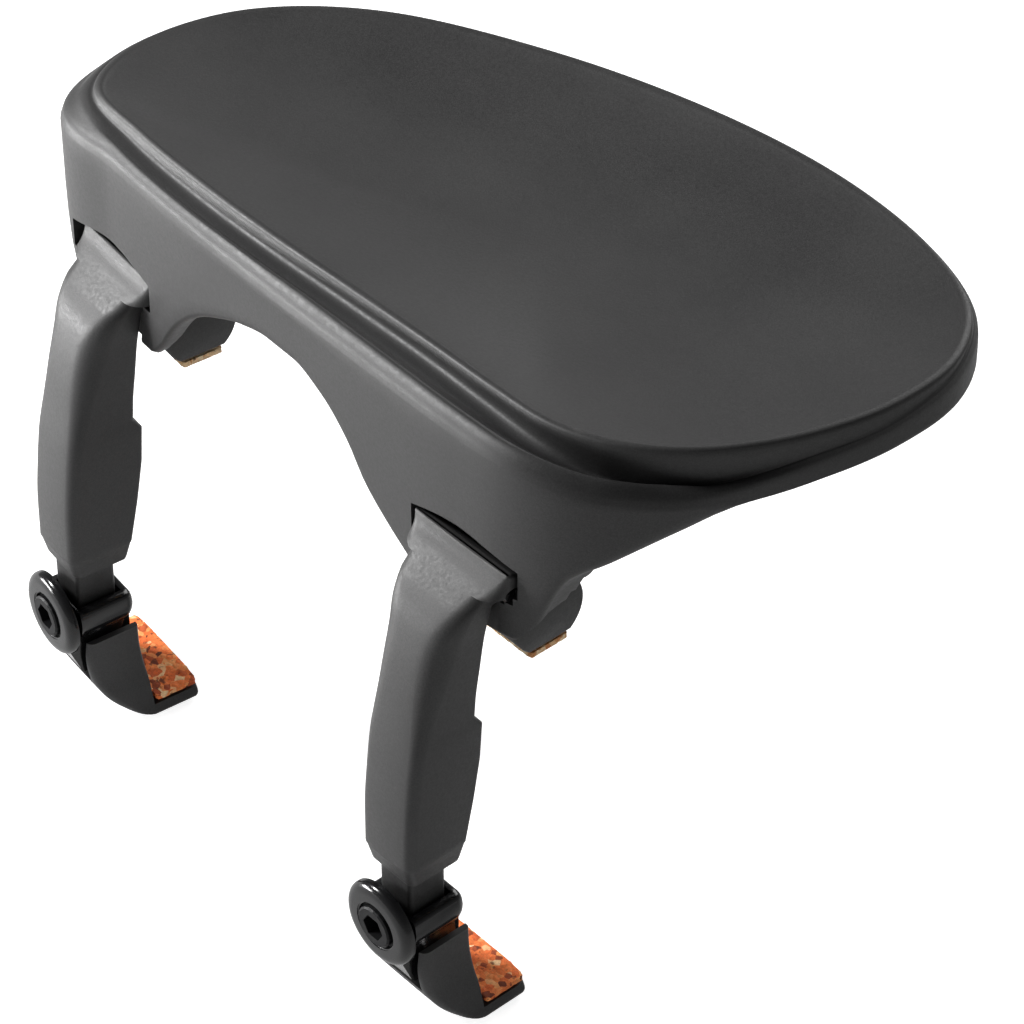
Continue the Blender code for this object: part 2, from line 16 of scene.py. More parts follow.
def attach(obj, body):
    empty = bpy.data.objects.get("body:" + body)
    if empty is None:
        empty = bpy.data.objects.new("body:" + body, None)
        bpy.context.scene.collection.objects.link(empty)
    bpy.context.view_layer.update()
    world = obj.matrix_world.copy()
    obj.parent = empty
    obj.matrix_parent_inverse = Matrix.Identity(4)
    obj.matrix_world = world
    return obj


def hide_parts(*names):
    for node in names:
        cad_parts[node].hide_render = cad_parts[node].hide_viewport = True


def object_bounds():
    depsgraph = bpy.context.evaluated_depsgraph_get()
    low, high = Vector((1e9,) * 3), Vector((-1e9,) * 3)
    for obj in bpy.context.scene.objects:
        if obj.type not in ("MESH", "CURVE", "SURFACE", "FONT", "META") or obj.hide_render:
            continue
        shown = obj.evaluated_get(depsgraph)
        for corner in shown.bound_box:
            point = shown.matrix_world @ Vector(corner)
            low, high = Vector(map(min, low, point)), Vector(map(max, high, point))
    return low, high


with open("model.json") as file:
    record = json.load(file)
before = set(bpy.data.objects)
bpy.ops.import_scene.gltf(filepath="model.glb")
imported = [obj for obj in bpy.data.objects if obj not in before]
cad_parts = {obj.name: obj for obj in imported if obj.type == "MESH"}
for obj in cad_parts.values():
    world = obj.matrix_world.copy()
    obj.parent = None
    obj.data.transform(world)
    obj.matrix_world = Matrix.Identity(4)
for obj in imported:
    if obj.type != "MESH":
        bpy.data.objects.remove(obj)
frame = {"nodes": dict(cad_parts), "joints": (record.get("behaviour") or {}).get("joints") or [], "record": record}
cad_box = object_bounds()

MM = 0.001
SIDES = ("left", "right")
WORLD = Matrix.Scale(MM, 4)

# Sizes shared with the CAD part, in millimetres
GAP = 0.3                     # running clearance between neighbours
LEG_X = 28.0                  # half the spacing of the legs
LEG_PIN = (1.6, 9.6)          # y, z of the pin that the leg rocks on
LEG_PIN_HOLE = 1.1
DISH_CENTRE = np.array([7.0, 27.0])
DISH_DEPTH = 4.4
DISH_POWER = 2.4              # how flat the dish's middle is: 2 is a paraboloid
DISH_SINK = 0.1               # drop of the dish's edge below the lip
LIP_Z = 27.2                  # height of the dish's lip at the legs' midpoint
LIP_RISE = 0.010              # rise of the lip for each millimetre towards +X
BOWL = (18.6, 3.4)            # height of the underside's middle, and its rise to the rim
ARCH_TOP = 18.4               # crown of the arch over the tailpiece
EDGE_ROLL = 0.9               # radius of the wall's lower edge
LOBE_Z = 3.8                  # underside of the lobes that carry the legs and feet
LOBE_BACK = 9.2               # the lobes end this far behind the front face
LOBE_FADE = 3.0               # and blend into the plate over this distance
LOBE_TAPER = (5.0, 5.6)       # beyond a foot's ends they are shorter: by this for each millimetre, and at most
CORNER = (35.0, 2.0)          # from this x the front wall turns back, by this much for each millimetre
FLANGE = (6.6, 0.9, 3.3, 9.8, 12.4)         # half width, front, back, bottom, top
CHANNEL = (5.5, 1.3)                        # half width and depth of the channel under the slot
POCKET = (7.0, 3.6, 8.2)                    # half width, depth and floor of the pocket for the leg's head
SPINDLE_Y = -5.6
SPINDLE_HOLE = 1.4
NUT_POCKET_Z = (-17.7, -14.3)
DRUM_Z = -30.6
DRUM_R = 4.7
DRUM_Y = (-10.5, -9.3)
COLLAR_Z = (-32.0, -28.9)
BOX_BOTTOM = -37.2
CLAW_PIN = (-4.3, -39.6)
CLAW_PIN_HOLE = 1.05
TOE_Z = (-44.6, -43.2)
FOOT_AXIS = (6.4, 4.5)
FOOT_R = 4.2
FOOT_HALF = 6.5
FOOT_FLAT_Z = 1.2
STUD_HOLE = 1.2


def leg_frame(side):
    """Matrix from a leg's own frame in millimetres to the object's in metres, from the joint it rocks on."""
    joint = next(j for j in frame["joints"] if j["name"] == f"{side}_leg_rock")
    x_axis = Vector(joint["axis"]).normalized()
    z_axis = Vector((0, 0, 1))
    turn = Matrix((x_axis, z_axis.cross(x_axis), z_axis)).transposed()
    origin = Vector(joint["pos_m"]) - turn @ (Vector((0, *LEG_PIN)) * MM)
    return Matrix.Translation(origin) @ turn.to_4x4() @ Matrix.Scale(MM, 4)


# ---------------------------------------------------------------- node helpers
class Nodes:
    """Short way to add shader nodes and join them."""

    def __init__(self, tree):
        self.tree = tree

    def add(self, kind, inputs=None, **settings):
        node = self.tree.nodes.new(kind)
        for key, value in settings.items():
            setattr(node, key, value)
        for key, value in (inputs or {}).items():
            if isinstance(value, bpy.types.NodeSocket):
                self.tree.links.new(value, node.inputs[key])
            else:
                node.inputs[key].default_value = value
        return node

    def noise(self, where, scale, detail=3.0, rough=0.55):
        return self.add("ShaderNodeTexNoise", {"Vector": where, "Scale": scale, "Detail": detail,
                                               "Roughness": rough}).outputs["Fac"]

    def ramp(self, value, stops):
        node = self.add("ShaderNodeValToRGB", {"Fac": value})
        ends = node.color_ramp.elements
        while len(ends) < len(stops):
            ends.new(0.5)
        for end, (place, color) in zip(ends, stops):
            end.position = place
            end.color = (*color, 1.0) if hasattr(color, "__len__") else (color, color, color, 1.0)
        return node.outputs["Color"]

    def span(self, value, low, high, to_low, to_high):
        return self.add("ShaderNodeMapRange", {"Value": value, "From Min": low, "From Max": high,
                                               "To Min": to_low, "To Max": to_high}).outputs["Result"]

    def mix(self, fac, a, b, blend="MIX"):
        node = self.add("ShaderNodeMix", data_type="RGBA", blend_type=blend)
        for index, value in ((0, fac), (6, a), (7, b)):
            if isinstance(value, bpy.types.NodeSocket):
                self.tree.links.new(value, node.inputs[index])
            else:
                node.inputs[index].default_value = value
        return node.outputs[2]

    def grey(self, value):
        return self.add("ShaderNodeCombineColor", {0: value, 1: value, 2: value}).outputs[0]

    def math(self, operation, a, b=0.0):
        return self.add("ShaderNodeMath", {0: a, 1: b}, operation=operation).outputs[0]

    def bump(self, height, strength, distance, normal=None):
        inputs = {"Height": height, "Strength": strength, "Distance": distance}
        if normal is not None:
            inputs["Normal"] = normal
        return self.add("ShaderNodeBump", inputs).outputs["Normal"]


def new_material(name):
    mat = bpy.data.materials.new(name)
    mat.use_nodes = True
    shader = mat.node_tree.nodes["Principled BSDF"]
    nodes = Nodes(mat.node_tree)
    where = nodes.add("ShaderNodeTexCoord").outputs["Object"]
    return mat, shader, nodes, where


def link(nodes, output, shader, name):
    nodes.tree.links.new(output, shader.inputs[name])


def composite_material():
    """Matt black moulded plastic: fine spark grain, faint flow clouds, and a painted highlight along the edges."""
    mat, shader, nodes, where = new_material("looks_matte_composite")
    clouds = nodes.noise(where, 55.0, 4.0)
    grain = nodes.noise(where, 2600.0, 2.0, 0.6)
    speck = nodes.noise(where, 6500.0, 1.0, 0.5)
    base = nodes.ramp(clouds, [(0.3, (0.0225, 0.0222, 0.0225)), (0.7, (0.0300, 0.0296, 0.0296))])
    flecks = nodes.span(speck, 0.35, 0.75, 0.85, 1.30)
    base = nodes.mix(1.0, base, nodes.grey(flecks), "MULTIPLY")
    # Painted highlight: the colour is lightened along sharp edges (pointiness), in patches set by the clouds.
    edge = nodes.add("ShaderNodeNewGeometry").outputs["Pointiness"]
    edge_highlight = nodes.math("MULTIPLY", nodes.span(edge, 0.53, 0.60, 0.0, 0.55),
                        nodes.span(clouds, 0.4, 0.6, 0.5, 1.0))
    base = nodes.mix(edge_highlight, base, (0.060, 0.059, 0.058, 1.0))
    link(nodes, base, shader, "Base Color")
    gloss = nodes.math("ADD", nodes.span(grain, 0.3, 0.7, 0.46, 0.56),
                       nodes.span(clouds, 0.3, 0.7, -0.03, 0.03))
    link(nodes, gloss, shader, "Roughness")
    fine = nodes.bump(grain, 0.35, 0.000035)
    link(nodes, nodes.bump(clouds, 0.08, 0.00012, fine), shader, "Normal")
    shader.inputs["Specular IOR Level"].default_value = 0.45
    return mat


def acetal_material(name, smooth, rough, specular):
    """Black acetal: slight orange peel, and hairline scuffs that roughen it from smooth to rough."""
    mat, shader, nodes, where = new_material(name)
    waves = nodes.noise(where, 420.0, 2.0)
    stretched = nodes.add("ShaderNodeMapping", {"Vector": where, "Scale": (1.0, 1.0, 14.0)}).outputs["Vector"]
    scuffs = nodes.noise(stretched, 1500.0, 4.0, 0.7)
    tone = nodes.ramp(waves, [(0.3, (0.0045, 0.0045, 0.005)), (0.7, (0.008, 0.008, 0.0085))])
    link(nodes, tone, shader, "Base Color")
    link(nodes, nodes.span(scuffs, 0.45, 0.75, smooth, rough), shader, "Roughness")
    link(nodes, nodes.bump(waves, 0.12, 0.00006), shader, "Normal")
    shader.inputs["Specular IOR Level"].default_value = specular
    return mat


def cork_material(name, pale):
    """Pressed cork: packed granules of mixed tone, dark bark specks and pits."""
    mat, shader, nodes, where = new_material(name)
    warp = nodes.add("ShaderNodeTexNoise", {"Vector": where, "Scale": 900.0, "Detail": 2.0}).outputs["Color"]
    bent = nodes.mix(0.0006, where, warp, "ADD")
    cells = nodes.add("ShaderNodeTexVoronoi", {"Vector": bent, "Scale": 1350.0})
    shade = nodes.add("ShaderNodeSeparateColor", {0: cells.outputs["Color"]}).outputs[0]
    if pale:
        stops = [(0.0, (0.50, 0.17, 0.055)), (0.12, (0.70, 0.36, 0.14)), (0.45, (0.82, 0.55, 0.30)),
                 (0.8, (0.90, 0.70, 0.45)), (1.0, (0.93, 0.78, 0.56))]
    else:
        stops = [(0.0, (0.13, 0.030, 0.010)), (0.10, (0.45, 0.080, 0.020)), (0.22, (0.80, 0.150, 0.032)),
                 (0.62, (0.92, 0.225, 0.055)), (0.86, (0.95, 0.37, 0.12)), (1.0, (0.97, 0.68, 0.38))]
    tone = nodes.ramp(shade, stops)
    fibre = nodes.noise(where, 3800.0, 3.0, 0.7)
    specks = nodes.span(nodes.noise(where, 1250.0, 2.0, 0.5), 0.62, 0.70, 0.0, 0.85)
    tone = nodes.mix(specks, tone, (0.10, 0.028, 0.012, 1.0))
    dust = nodes.span(fibre, 0.3, 0.7, 0.80, 1.22)
    tone = nodes.mix(1.0, tone, nodes.grey(dust), "MULTIPLY")
    link(nodes, tone, shader, "Base Color")
    link(nodes, nodes.span(fibre, 0.3, 0.7, 0.72, 0.92), shader, "Roughness")
    seams = nodes.span(cells.outputs["Distance"], 0.0, 0.5, 1.0, 0.0)
    pits = nodes.bump(seams, 0.6, 0.00012)
    link(nodes, nodes.bump(fibre, 0.4, 0.00006, pits), shader, "Normal")
    return mat


def steel_material():
    """Turned steel: fine rings of tool marks and a little dulling."""
    mat, shader, nodes, where = new_material("looks_steel")
    cloud = nodes.noise(where, 300.0, 3.0)
    stretched = nodes.add("ShaderNodeMapping", {"Vector": where, "Scale": (1.0, 1.0, 9.0)}).outputs["Vector"]
    marks = nodes.noise(stretched, 2400.0, 3.0, 0.7)
    tone = nodes.ramp(cloud, [(0.3, (0.46, 0.46, 0.47)), (0.7, (0.62, 0.62, 0.62))])
    link(nodes, tone, shader, "Base Color")
    link(nodes, nodes.span(marks, 0.3, 0.7, 0.20, 0.42), shader, "Roughness")
    link(nodes, nodes.bump(marks, 0.25, 0.00002), shader, "Normal")
    shader.inputs["Metallic"].default_value = 1.0
    return mat


MATERIALS = {
    "matte_composite": composite_material(),
    "gloss_acetal": acetal_material("looks_gloss_acetal", 0.13, 0.30, 0.42),
    "worn_acetal": acetal_material("looks_worn_acetal", 0.42, 0.60, 0.15),
    "cork": cork_material("looks_cork", False),
    "cork_pale": cork_material("looks_cork_pale", True),
    "steel": steel_material(),
}


# ---------------------------------------------------------------- mesh helpers
def add_mesh(name, verts, faces, place):
    mesh = bpy.data.meshes.new(name)
    mesh.from_pydata([place @ Vector(v) for v in verts], [], faces)
    work = bmesh.new()
    work.from_mesh(mesh)
    bmesh.ops.recalc_face_normals(work, faces=work.faces)
    work.to_mesh(mesh)
    work.free()
    obj = bpy.data.objects.new(name, mesh)
    bpy.context.scene.collection.objects.link(obj)
    return obj


def loft(name, rings, place):
    """A closed body through rings with equal numbers of points, capped at both ends."""
    count = len(rings[0])
    verts = [tuple(map(float, p)) for ring in rings for p in ring]
    faces = [tuple(range(count)), tuple(range((len(rings) - 1) * count, len(rings) * count))]
    for i in range(len(rings) - 1):
        low, high = i * count, (i + 1) * count
        for j in range(count):
            k = (j + 1) % count
            faces.append((low + j, low + k, high + k, high + j))
    return add_mesh(name, verts, faces, place)


def box(name, x, y, z, place):
    rings = [[(x[0], y[0], h), (x[1], y[0], h), (x[1], y[1], h), (x[0], y[1], h)] for h in z]
    return loft(name, rings, place)


def turned(name, axis, centre, profile, sides, place):
    """A solid of rings along an axis: profile is (distance along the axis, radius)."""
    rings = []
    for along, radius in profile:
        ring = []
        for i in range(sides):
            angle = 2 * math.pi * i / sides
            u, v = radius * math.cos(angle), radius * math.sin(angle)
            if axis == "X":
                ring.append((along, centre[0] + u, centre[1] + v))
            elif axis == "Y":
                ring.append((centre[0] + u, along, centre[1] + v))
            else:
                ring.append((centre[0] + u, centre[1] + v, along))
        rings.append(ring)
    return loft(name, rings, place)


def extruded(name, outline, axis, span, place):
    """An outline pushed along an axis: (y, z) along X, (x, z) along Y."""
    if axis == "X":
        rings = [[(h, a, b) for a, b in outline] for h in span]
    else:
        rings = [[(a, h, b) for a, b in outline] for h in span]
    return loft(name, rings, place)


def rounded(half, front, back, front_r, back_r, z, arc=8, crown=0.0):
    """A ring at height z: a rectangle with rounded corners, its front bowed out by crown."""
    corners = [(-half + front_r, front + front_r, front_r, 180),
               (half - front_r, front + front_r, front_r, 270),
               (half - back_r, back - back_r, back_r, 0),
               (-half + back_r, back - back_r, back_r, 90)]
    ring = []
    for cx, cy, radius, start in corners:
        for i in range(arc + 1):
            angle = math.radians(start + 90 * i / arc)
            x = cx + radius * math.cos(angle)
            y = cy + radius * math.sin(angle)
            bow = crown * (1 - (x / half) ** 2) if y < (front + back) / 2 else 0.0
            ring.append((x, y - bow, z))
        if start == 180:
            for i in range(1, 8):
                x = -(half - front_r) + 2 * (half - front_r) * i / 8
                ring.append((x, front - crown * (1 - (x / half) ** 2), z))
    return ring


def carve(obj, tools):
    """Applies boolean tools, given as (object, operation), and removes them."""
    for tool, operation in tools:
        mod = obj.modifiers.new("carve", "BOOLEAN")
        mod.operation = operation
        mod.solver = "EXACT"
        mod.object = tool
    apply_modifiers(obj)
    for tool, _ in tools:
        bpy.data.objects.remove(tool, do_unlink=True)


def apply_modifiers(obj):
    bpy.context.view_layer.update()
    mesh = bpy.data.meshes.new_from_object(obj.evaluated_get(bpy.context.evaluated_depsgraph_get()))
    obj.modifiers.clear()
    obj.data = mesh


def finish_piece(obj, material, body, nodes, sharp=38):
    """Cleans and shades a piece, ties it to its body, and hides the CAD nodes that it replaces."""
    work = bmesh.new()
    work.from_mesh(obj.data)
    bmesh.ops.remove_doubles(work, verts=work.verts, dist=0.000002)
    bmesh.ops.dissolve_degenerate(work, edges=work.edges, dist=0.000001)
    work.to_mesh(obj.data)
    work.free()
    obj.data.shade_smooth()
    obj.data.set_sharp_from_angle(angle=math.radians(sharp))
    obj.data.materials.clear()
    obj.data.materials.append(MATERIALS[material])
    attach(obj, body)
    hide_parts(*nodes)
    return obj


def monotone(knots, values):
    """Smooth curve through the knots that never overshoots between two of them."""
    knots, values = np.array(knots, float), np.array(values, float)
    step = np.diff(knots)
    slope = np.diff(values) / step
    tangent = np.zeros(len(knots))
    for i in range(1, len(knots) - 1):
        if slope[i - 1] * slope[i] > 0:
            a, b = 2 * step[i] + step[i - 1], step[i] + 2 * step[i - 1]
            tangent[i] = (a + b) / (a / slope[i - 1] + b / slope[i])
    tangent[0], tangent[-1] = slope[0], slope[-1]

    def at(x):
        x = np.clip(np.asarray(x, float), knots[0], knots[-1])
        i = np.clip(np.searchsorted(knots, x, side="right") - 1, 0, len(step) - 1)
        h = step[i]
        t = (x - knots[i]) / h
        return ((1 + 2 * t) * (1 - t) ** 2 * values[i] + t * (1 - t) ** 2 * h * tangent[i]
                + t * t * (3 - 2 * t) * values[i + 1] + t * t * (t - 1) * h * tangent[i + 1])
    return at


def closed_spline(rows, steps):
    """Catmull-Rom through rows of numbers, closed, with the same number of samples in each stretch."""
    out = []
    for i in range(len(rows)):
        a, b, c, d = (rows[(i + k) % len(rows)] for k in (-1, 0, 1, 2))
        for j in range(steps):
            t = j / steps
            out.append(0.5 * (2 * b + (c - a) * t + (2 * a - 5 * b + 4 * c - d) * t * t
                              + (3 * b - a - 3 * c + d) * t ** 3))
    return np.array(out)


def across(rings, steps):
    """More rings between the given ones, on smooth curves through matching points."""
    points = np.array(rings)
    chord = np.sqrt(np.linalg.norm(np.diff(points, axis=0), axis=2) + 1e-6)[:, :, None]
    slope = np.diff(points, axis=0) / chord
    tangent = np.concatenate([slope[:1], (slope[:-1] * chord[1:] + slope[1:] * chord[:-1])
                              / (chord[:-1] + chord[1:]), slope[-1:]])
    out = []
    for i in range(len(points) - 1):
        for j in range(steps):
            t = j / steps
            out.append((1 + 2 * t) * (1 - t) ** 2 * points[i] + t * (1 - t) ** 2 * chord[i] * tangent[i]
                       + t * t * (3 - 2 * t) * points[i + 1] + t * t * (t - 1) * chord[i] * tangent[i + 1])
    out.append(points[-1])
    return out


# ---------------------------------------------------------------- chin plate
# Rows round the rim, anticlockwise in plan from the front left: the lip's x and y, then how far out and how
# far down from the lip the groove lies, and the same for the shoulder of the wall below it.
RIM = np.array([
    (-36.0, 5.0, 1.0, 1.0, 3.8, 2.1),
    (-27.0, 3.7, 1.6, 1.5, 3.5, 1.8),
    (-16.0, 3.6, 2.0, 1.7, 3.8, 1.7),
    (-5.0, 4.1, 2.1, 1.8, 4.2, 1.7),
    (6.0, 5.0, 2.2, 1.9, 4.9, 1.5),
    (17.0, 5.8, 2.2, 2.0, 5.4, 1.4),
    (26.0, 6.3, 2.0, 2.3, 5.5, 1.4),
    (33.0, 7.0, 1.4, 2.9, 5.2, 1.7),
    (38.4, 9.2, 0.5, 4.3, 4.2, 2.8),
    (43.0, 12.9, 0.0, 4.9, 2.4, 4.0),
    (46.4, 17.6, 0.0, 4.2, 1.3, 4.2),
    (49.3, 24.6, 0.2, 2.8, 0.8, 3.6),
    (50.7, 33.0, 0.4, 2.2, 0.7, 2.9),
    (49.4, 41.8, 0.4, 1.2, 0.8, 2.3),
    (44.0, 48.2, 0.25, 0.45, 0.9, 1.5),
    (33.0, 51.6, 0.2, 0.35, 0.9, 1.3),
    (19.0, 51.9, 0.2, 0.35, 0.9, 1.3),
    (3.0, 48.9, 0.2, 0.35, 0.9, 1.3),
    (-13.0, 43.2, 0.2, 0.35, 0.9, 1.3),
    (-28.0, 35.0, 0.2, 0.35, 0.9, 1.3),
    (-37.0, 24.6, 0.2, 0.35, 0.9, 1.3),
    (-39.3, 13.2, 0.35, 0.40, 1.5, 1.4),
])
RIM_STEPS = 14                # samples between two rows of RIM

# Underside of the front wall from left to right: x and height.
FRONT_EDGE = np.array([
    (-40.0, 19.0), (-37.4, 14.6), (-35.6, 8.4), (-33.0, 4.6), (-31.0, LOBE_Z), (-21.6, LOBE_Z), (-19.6, 5.6),
    (-18.4, 7.6), (-16.8, 9.9), (-14.8, 12.1), (-12.0, 14.3), (-9.6, 15.6), (-5.5, 17.4), (-1.0, ARCH_TOP),
    (3.0, ARCH_TOP), (7.6, 16.7), (11.4, 13.5), (13.8, 10.2), (17.3, 7.2), (20.2, 5.2), (22.2, LOBE_Z),
    (34.0, LOBE_Z), (35.8, 4.8), (37.0, 8.6), (38.6, 12.8), (41.6, 15.8), (45.0, 19.2), (48.0, 21.9),
    (53.0, 23.0),
])
front_edge = monotone(FRONT_EDGE[:, 0], FRONT_EDGE[:, 1])


def lip_height(x):
    return LIP_Z + LIP_RISE * x


def dish_height(x, share):
    return lip_height(x) - DISH_SINK - DISH_DEPTH * (1 - share ** DISH_POWER)


def under_height(xy, share):
    """Height of the plate's underside: a shallow bowl, with the two lobes let down along the front."""
    x, y = xy[:, 0], xy[:, 1]
    bowl = BOWL[0] + BOWL[1] * share ** 2 + 0.6 * LIP_RISE * x
    beyond = np.maximum(0.0, np.abs(np.abs(x) - LEG_X) - FOOT_HALF)
    reach = LOBE_BACK - np.minimum(LOBE_TAPER[0] * beyond, LOBE_TAPER[1])
    reach += CORNER[1] * np.maximum(0.0, x - CORNER[0])
    t = np.clip((y - reach + LOBE_FADE / 2) / LOBE_FADE, 0.0, 1.0)
    back = t * t * (3 - 2 * t)
    return np.minimum(front_edge(x), bowl) * (1 - back) + bowl * back


def plate_rings():
    """Rings of the plate from the middle of the dish, over the rim, to the middle of the underside."""
    rim = closed_spline(RIM, RIM_STEPS)
    lip = rim[:, :2]
    groove, groove_drop, wall, wall_drop = rim[:, 2], rim[:, 3], rim[:, 4], rim[:, 5]
    tangent = np.roll(lip, -1, axis=0) - np.roll(lip, 1, axis=0)
    normal = np.stack([tangent[:, 1], -tangent[:, 0]], axis=1)
    normal /= np.linalg.norm(normal, axis=1)[:, None]

    reach = np.linalg.norm(lip - DISH_CENTRE, axis=1)

    def dish(share):
        plan = DISH_CENTRE + (lip - DISH_CENTRE) * np.reshape(share, (-1, 1))
        return np.column_stack([plan, dish_height(plan[:, 0], share)])

    def around(out, drop):
        plan = lip + normal * np.reshape(out, (-1, 1))
        return np.column_stack([plan, lip_height(plan[:, 0]) - drop])

    edge_out = np.minimum(0.25, 0.4 * groove + 0.05)
    edge_drop = np.minimum(0.46, 0.6 * groove_drop)
    wide = np.clip((wall - groove - 0.8) / 1.2, 0.0, 1.0)
    fall = wall_drop - groove_drop
    crest = np.maximum(wall - 1.5, groove + 0.4 * (wall - groove))
    crest_drop = (1 - wide) * (groove_drop + 0.3 * fall) + wide * (wall_drop - 0.37)
    shoulder = crest + 0.72 * (wall - crest)
    shoulder_drop = (1 - wide) * (groove_drop + 0.8 * fall) + wide * (wall_drop + 0.42)
    profile = [
        dish(0.86), dish(1 - 1.9 / reach), dish(1 - 1.0 / reach), dish(1 - 0.4 / reach),
        around(edge_out, edge_drop),
        around(edge_out + 0.26 * (groove - edge_out), edge_drop + 0.80 * (groove_drop - edge_drop)),
        around(groove, groove_drop),
        around(groove + 0.5 * (crest - groove), groove_drop + 0.35 * (crest_drop - groove_drop)),
        around(crest, crest_drop), around(shoulder, shoulder_drop), around(wall, wall_drop + 1.5),
    ]
    rings = [dish(share) for share in (0.08, 0.18, 0.28, 0.38, 0.48, 0.57, 0.65, 0.72, 0.79)]
    rings += across(profile, 4)
    face = lip + normal * wall[:, None]
    inset = lip + normal * (wall - EDGE_ROLL)[:, None]
    top = rings[-1][:, 2]
    low = under_height(face, 1.0)
    edge = np.minimum(low + EDGE_ROLL, top - 0.3)
    for t in (0.12, 0.25, 0.4, 0.55, 0.7, 0.85, 1.0):
        rings.append(np.column_stack([face, top + (edge - top) * t]))
    under = np.minimum(under_height(inset, 0.98), edge - 0.2)
    for angle in (22.5, 45.0, 67.5):
        turn = math.radians(angle)
        plan = face + (inset - face) * (1 - math.cos(turn))
        rings.append(np.column_stack([plan, under + (edge - under) * (1 - math.sin(turn))]))
    rings.append(np.column_stack([inset, under]))
    for share in [*np.linspace(0.98, 0.55, 34), 0.5, 0.44, 0.37, 0.29, 0.2, 0.1]:
        plan = DISH_CENTRE + (inset - DISH_CENTRE) * share
        rings.append(np.column_stack([plan, under_height(plan, share)]))
    return rings


def slot_outline():
    """Front view of the pocket for a leg's head: a neck, shoulders, and a lens-shaped gap over the flange."""
    shoulder, spring, crown = FLANGE[3] - 0.4, FLANGE[4] + 0.35, FLANGE[4] + 1.8
    wide, _, floor = POCKET
    neck = CHANNEL[0] + 0.1
    outline = [(-wide, shoulder), (-neck, shoulder), (-neck, floor), (neck, floor), (neck, shoulder),
               (wide, shoulder)]
    for i in range(25):
        t = i / 24
        outline.append((wide * (1 - 2 * t), spring + (crown - spring) * math.sin(math.pi * t)))
    return outline


def chin_plate():
    rings = plate_rings()
    count = len(rings[0])
    verts = [tuple(map(float, p)) for ring in rings for p in ring]
    top, bottom = len(verts), len(verts) + 1
    cx, cy = DISH_CENTRE
    verts.append((cx, cy, dish_height(cx, 0.0)))
    verts.append((cx, cy, float(under_height(np.array([[cx, cy]]), 0.0)[0])))
    last = (len(rings) - 1) * count
    faces = []
    for j in range(count):
        k = (j + 1) % count
        faces += [(top, j, k), (bottom, last + k, last + j)]
        for i in range(len(rings) - 1):
            low, high = i * count, (i + 1) * count
            faces.append((low + j, high + j, high + k, low + k))
    plate = add_mesh("plate_moulding", verts, faces, WORLD)
    tools = []
    for side in SIDES:
        place = leg_frame(side)
        half, depth = CHANNEL
        tools.append(extruded("pocket_tool", slot_outline(), "Y", (-6.0, POCKET[1]), place))
        channel = [(-half + 0.75, 0.5), (half - 0.75, 0.5), (half - 0.75, LOBE_Z), (half, POCKET[2] + 0.1),
                   (-half, POCKET[2] + 0.1), (-half + 0.75, LOBE_Z)]
        tools.append(extruded("channel_tool", channel, "Y", (-6.2, depth), place))
        tools.append(turned("pin_tool", "X", LEG_PIN, [(-6.5, LEG_PIN_HOLE), (6.5, LEG_PIN_HOLE)], 24, place))
        seat = FOOT_R + 0.35
        tools.append(turned("seat_tool", "X", FOOT_AXIS, [(-9.5, seat), (9.5, seat)], 72, place))
        stud_hole = [(2.0, STUD_HOLE), (13.4, STUD_HOLE)]
        tools.append(turned("stud_tool", "Z", (0, FOOT_AXIS[0]), stud_hole, 24, place))
    carve(plate, [(tool, "DIFFERENCE") for tool in tools])
    finish_piece(plate, "matte_composite", "root", ["chin_plate"])


# ---------------------------------------------------------------- leg
# Rows down the leg's head, whose front sweeps out of the flange: height, half width, front, radius of the front
# corners, back.
HEAD_ROWS = [(12.4, 6.42, 1.05, 0.25, 1.55), (12.34, 6.53, 0.95, 0.3, 1.66), (12.24, 6.6, 0.9, 0.35, 1.80),
             (11.9, 6.6, 0.80, 0.6, 2.20), (11.4, 6.6, 0.55, 0.9, 2.75), (10.9, 6.6, 0.18, 1.2, 3.2),
             (10.5, 6.6, -0.22, 1.5, 3.3), (10.1, 6.6, -0.72, 1.8, 3.3), (9.88, 6.52, -1.02, 1.9, 3.22),
             (9.8, 6.3, -1.14, 1.9, 3.1), (9.76, 5.5, -1.20, 1.6, 3.0), (9.66, 5.2, -1.34, 1.5, 3.0),
             (9.4, 5.1, -1.72, 1.5, 3.0), (9.0, 5.05, -2.30, 1.6, 3.0), (8.62, 5.0, -2.84, 1.7, 3.0)]
# Rows down the leg below its head: height, half width, front, and radius of the front corners.
LEG_ROWS = np.array([
    (9.9, 5.1, -1.2, 1.3), (8.6, 5.0, -2.88, 1.7), (6.6, 4.7, -4.5, 2.2), (3.9, 4.3, -5.5, 2.4),
    (0.0, 4.0, -6.5, 2.1), (-3.6, 3.8, -7.2, 1.6), (-6.2, 3.75, -7.7, 1.3), (-7.6, 3.75, -7.95, 1.2),
    (-12.0, 3.7, -8.5, 1.1), (-17.0, 3.65, -8.9, 1.0), (-22.0, 3.6, -9.0, 1.0),
])
# Up the leg's back: height and y.
LEG_BACK = [(-22.0, -1.6), (-17.0, -0.6), (-12.0, 0.2), (-7.6, 0.45), (-6.2, -0.5), (-3.6, -0.35), (0.0, 0.0),
            (3.9, 0.3), (8.2, 0.7), (8.6, 3.0), (9.9, 3.0)]
# Rows from the leg's lower end over its shoulder to the neck: height, half width, front, back, front radius.
NECK_ROWS = [(-22.25, 3.52, -8.9, -1.68, 0.95), (-24.15, 3.24, -8.47, -2.12, 0.9),
             (-24.4, 3.2, -8.38, -2.24, 0.85), (-25.0, 2.4, -7.98, -3.2, 0.55), (-25.2, 2.3, -7.9, -3.3, 0.5),
             (-30.6, 2.3, -7.9, -3.3, 0.5), (-30.8, 2.15, -7.75, -3.45, 0.4)]
HEAD_END = 8.6                # the head's lower end
LEG_CROWN = 0.12              # how far the leg's front bows out at its head: twice as far lower down
COVER_Z = (-21.2, -8.4)
COVER_THICK = 1.4


